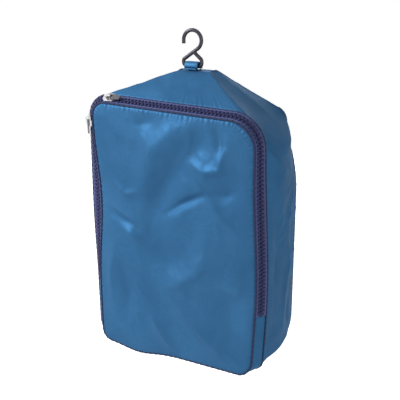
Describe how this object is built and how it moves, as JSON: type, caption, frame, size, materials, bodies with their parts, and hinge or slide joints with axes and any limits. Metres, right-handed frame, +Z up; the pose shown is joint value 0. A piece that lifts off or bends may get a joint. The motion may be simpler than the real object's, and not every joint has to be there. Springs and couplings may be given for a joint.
{
  "type": "hanging shoe bag",
  "caption": "Zipped nylon shoe bag hung from a wire hook, with a fold-down front panel, boxed sides and a drawn-up top.",
  "frame": {"origin": "where the crook of the hook bears on a rail", "axes": "+Z up, the zipped front faces -Y, +X to the right of a person facing the front"},
  "size_m": [0.2267, 0.1071, 0.3946],
  "materials": {
    "hook_wire": "gloss",
    "blue_nylon": "satin",
    "blue_thread": "matte",
    "binding_tape": "matte",
    "zip_tape": "matte",
    "zip_teeth": "gloss",
    "slider_metal": "polished"
  },
  "bodies": {
    "hook": {"hook": "hook_wire"},
    "bag": {"hanging_loop": "blue_nylon", "loop_tacks": "blue_thread", "top_panel": "blue_nylon", "left_gusset": "blue_nylon", "right_gusset": "blue_nylon", "bottom_panel": "blue_nylon", "back_panel": "blue_nylon", "seam_binding_front": "binding_tape", "seam_binding_back": "binding_tape", "lower_front_gusset": "blue_nylon", "front_panel_lower": "blue_nylon", "zip_tape_outer": "zip_tape", "zip_teeth_outer": "zip_teeth", "zip_tape_inner_foot": "zip_tape", "zip_teeth_inner_foot": "zip_teeth", "zip_end_stops": "zip_teeth"},
    "flap": {"front_panel": "blue_nylon", "zip_tape_inner": "zip_tape", "zip_teeth_inner": "zip_teeth", "seam_binding_flap": "binding_tape"},
    "slider_left": {"slider_left_body": "slider_metal", "slider_left_bail": "slider_metal"},
    "pull_left": {"slider_left_pull": "slider_metal"},
    "slider_right": {"slider_right_body": "slider_metal", "slider_right_bail": "slider_metal"},
    "pull_right": {"slider_right_pull": "slider_metal"}
  },
  "joints": [
    {"name": "hook_swing", "type": "hinge", "parent": "hook", "child": "bag", "pos_m": [0, 0, -0.0376], "axis": [1, 0, 0], "range_deg": [-90, 90]},
    {"name": "flap_open", "type": "hinge", "parent": "bag", "child": "flap", "pos_m": [0, -0.0577, -0.2852], "axis": [1, 0, 0], "range_deg": [0, 165], "deforming": ["zip_tape_inner", "zip_teeth_inner"]},
    {"name": "slider_left_travel", "type": "slide", "parent": "bag", "child": "slider_left", "axis": [0, 0, -1], "range_m": [0, 0.1765], "deforming": ["zip_teeth_outer"]},
    {"name": "pull_left_swing", "type": "hinge", "parent": "slider_left", "child": "pull_left", "pos_m": [-0.11061, -0.05461, -0.1007], "axis": [-0.7071, 0.7071, 0], "range_deg": [0, 150]},
    {"name": "slider_right_travel", "type": "slide", "parent": "bag", "child": "slider_right", "axis": [1, 0, 0], "range_m": [0, 0.15]},
    {"name": "pull_right_swing", "type": "hinge", "parent": "slider_right", "child": "pull_right", "pos_m": [-0.0805, -0.05461, -0.07059], "axis": [0, -0.7071, -0.7071], "range_deg": [0, 150]}
  ]
}
